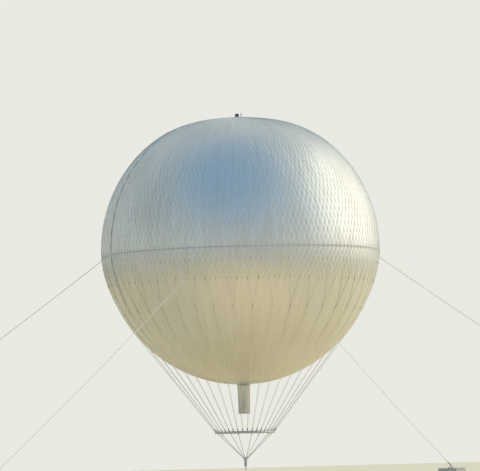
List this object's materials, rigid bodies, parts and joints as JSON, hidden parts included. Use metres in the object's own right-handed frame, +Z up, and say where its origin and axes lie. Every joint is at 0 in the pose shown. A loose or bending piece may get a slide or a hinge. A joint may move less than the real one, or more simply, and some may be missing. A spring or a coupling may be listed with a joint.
{
  "type": "moored spherical gas balloon, 1:2 scale model",
  "caption": "Spherical gas balloon of silver-white coated fabric under a rope net, held down by suspension lines, a load ring, a tether and four mooring ropes to anchor blocks.",
  "frame": {"origin": "on the ground under the crown, at the middle of the four anchor blocks", "axes": "+Z up through the crown; -Y is the front, the side from which the picture is taken, a little to its left; the anchors lie 45 degrees to the left of the front, 105 degrees to the left, and opposite these two"},
  "size_m": [34.9096, 26.0216, 14.751],
  "materials": {
    "silver_fabric": "satin silver-white coated fabric",
    "sleeve_fabric": "matt coated fabric",
    "belt_webbing": "woven webbing",
    "net_rope": "braided rope",
    "mooring_rope": "laid rope, cream",
    "dark_valve": "dark satin paint",
    "light_housing": "satin",
    "alloy": "mill finish",
    "galvanised_steel": "hot-dip galvanised",
    "steel_wire": "stranded wire rope",
    "concrete": "cast concrete"
  },
  "bodies": {
    "root": {"envelope_upper_front_right": "silver_fabric", "envelope_upper_back_right": "silver_fabric", "envelope_upper_back_left": "silver_fabric", "envelope_upper_front_left": "silver_fabric", "envelope_lower_front_right": "silver_fabric", "envelope_lower_back_right": "silver_fabric", "envelope_lower_back_left": "silver_fabric", "envelope_lower_front_left": "silver_fabric", "equator_belt": "belt_webbing", "crown_panel": "silver_fabric", "net_crown_ring": "alloy", "crown_gas_valve": "dark_valve", "crown_marker_light": "light_housing", "neck_ring": "alloy", "filling_sleeve": "sleeve_fabric", "net_front_right": "net_rope", "suspension_lines_front_right": "net_rope", "net_back_right": "net_rope", "suspension_lines_back_right": "net_rope", "net_back_left": "net_rope", "suspension_lines_back_left": "net_rope", "net_front_left": "net_rope", "suspension_lines_front_left": "net_rope", "load_ring": "galvanised_steel", "bridle_cables": "steel_wire", "tether_swivel": "galvanised_steel", "tether_cable": "steel_wire", "tether_pedestal": "galvanised_steel", "centre_anchor_block": "concrete", "anchor_block_front_left": "concrete", "anchor_lug_front_left": "galvanised_steel", "rope_tensioner_front_left": "galvanised_steel", "mooring_rope_front_left": "mooring_rope", "anchor_block_left": "concrete", "anchor_lug_left": "galvanised_steel", "rope_tensioner_left": "galvanised_steel", "mooring_rope_left": "mooring_rope", "anchor_block_right": "concrete", "anchor_lug_right": "galvanised_steel", "rope_tensioner_right": "galvanised_steel", "mooring_rope_right": "mooring_rope", "anchor_block_back_right": "concrete", "anchor_lug_back_right": "galvanised_steel", "rope_tensioner_back_right": "galvanised_steel", "mooring_rope_back_right": "mooring_rope"}
  },
  "joints": []
}
